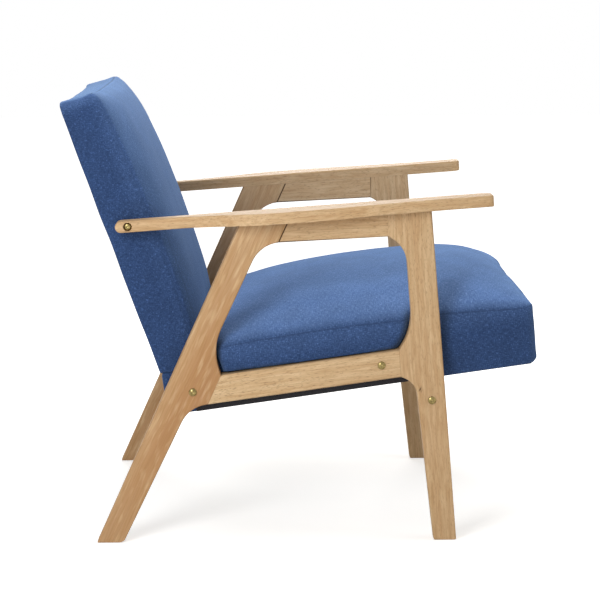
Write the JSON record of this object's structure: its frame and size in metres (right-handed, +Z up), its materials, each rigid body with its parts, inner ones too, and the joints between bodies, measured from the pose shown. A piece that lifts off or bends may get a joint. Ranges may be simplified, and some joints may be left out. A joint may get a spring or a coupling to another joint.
{
  "type": "upholstered lounge chair",
  "caption": "Lounge armchair with open tapered wooden side frames, shaped armrests, a tilted upholstered seat and a leaning upholstered back.",
  "frame": {"origin": "on the floor, midway between the two sides and midway between the seat's front and the back's rearmost edge", "axes": "+Z up, the chair faces -Y, +X to the left side of a person who sits in it"},
  "size_m": [0.652, 0.7551, 0.7282],
  "materials": {
    "oiled_wood": "pale straight grained hardwood, matt oiled",
    "linen": "blue heathered linen weave",
    "bolt": "satin, slightly tarnished",
    "zinc": "bright zinc plated",
    "dowel": "plain turned hardwood",
    "timber": "rough sawn softwood",
    "fibreboard": "smooth hard fibreboard",
    "foam": "open cell foam",
    "webbing": "woven elastic strap",
    "dust_cloth": "thin black cloth"
  },
  "bodies": {
    "root": {"right_rear_leg": "oiled_wood", "right_front_leg": "oiled_wood", "right_seat_rail": "oiled_wood", "right_arm_rail": "oiled_wood", "right_armrest": "oiled_wood", "left_rear_leg": "oiled_wood", "left_front_leg": "oiled_wood", "left_seat_rail": "oiled_wood", "left_arm_rail": "oiled_wood", "left_armrest": "oiled_wood", "frame_dowels": "dowel", "arm_dowels": "dowel", "front_stretcher": "oiled_wood", "stretcher_bolts": "bolt", "stretcher_barrel_nuts": "zinc", "stretcher_dowels": "dowel", "seat_front_rail": "timber", "seat_rear_rail": "timber", "seat_right_rail": "timber", "seat_left_rail": "timber", "seat_corner_blocks": "timber", "seat_frame_screws": "zinc", "seat_long_webbing": "webbing", "seat_cross_webbing": "webbing", "seat_foam": "foam", "seat_cover": "linen", "dust_cover": "dust_cloth", "seat_bolts": "bolt", "seat_tee_nuts": "zinc", "back_right_stile": "timber", "back_left_stile": "timber", "back_top_rail": "timber", "back_middle_rail": "timber", "back_bottom_rail": "timber", "back_frame_screws": "zinc", "back_webbing": "webbing", "back_panel": "fibreboard", "back_foam": "foam", "back_cover": "linen", "arm_bolts": "bolt", "arm_tee_nuts": "zinc", "back_bolts": "zinc", "back_bolt_washers": "zinc", "back_barrel_nuts": "zinc"}
  },
  "joints": []
}
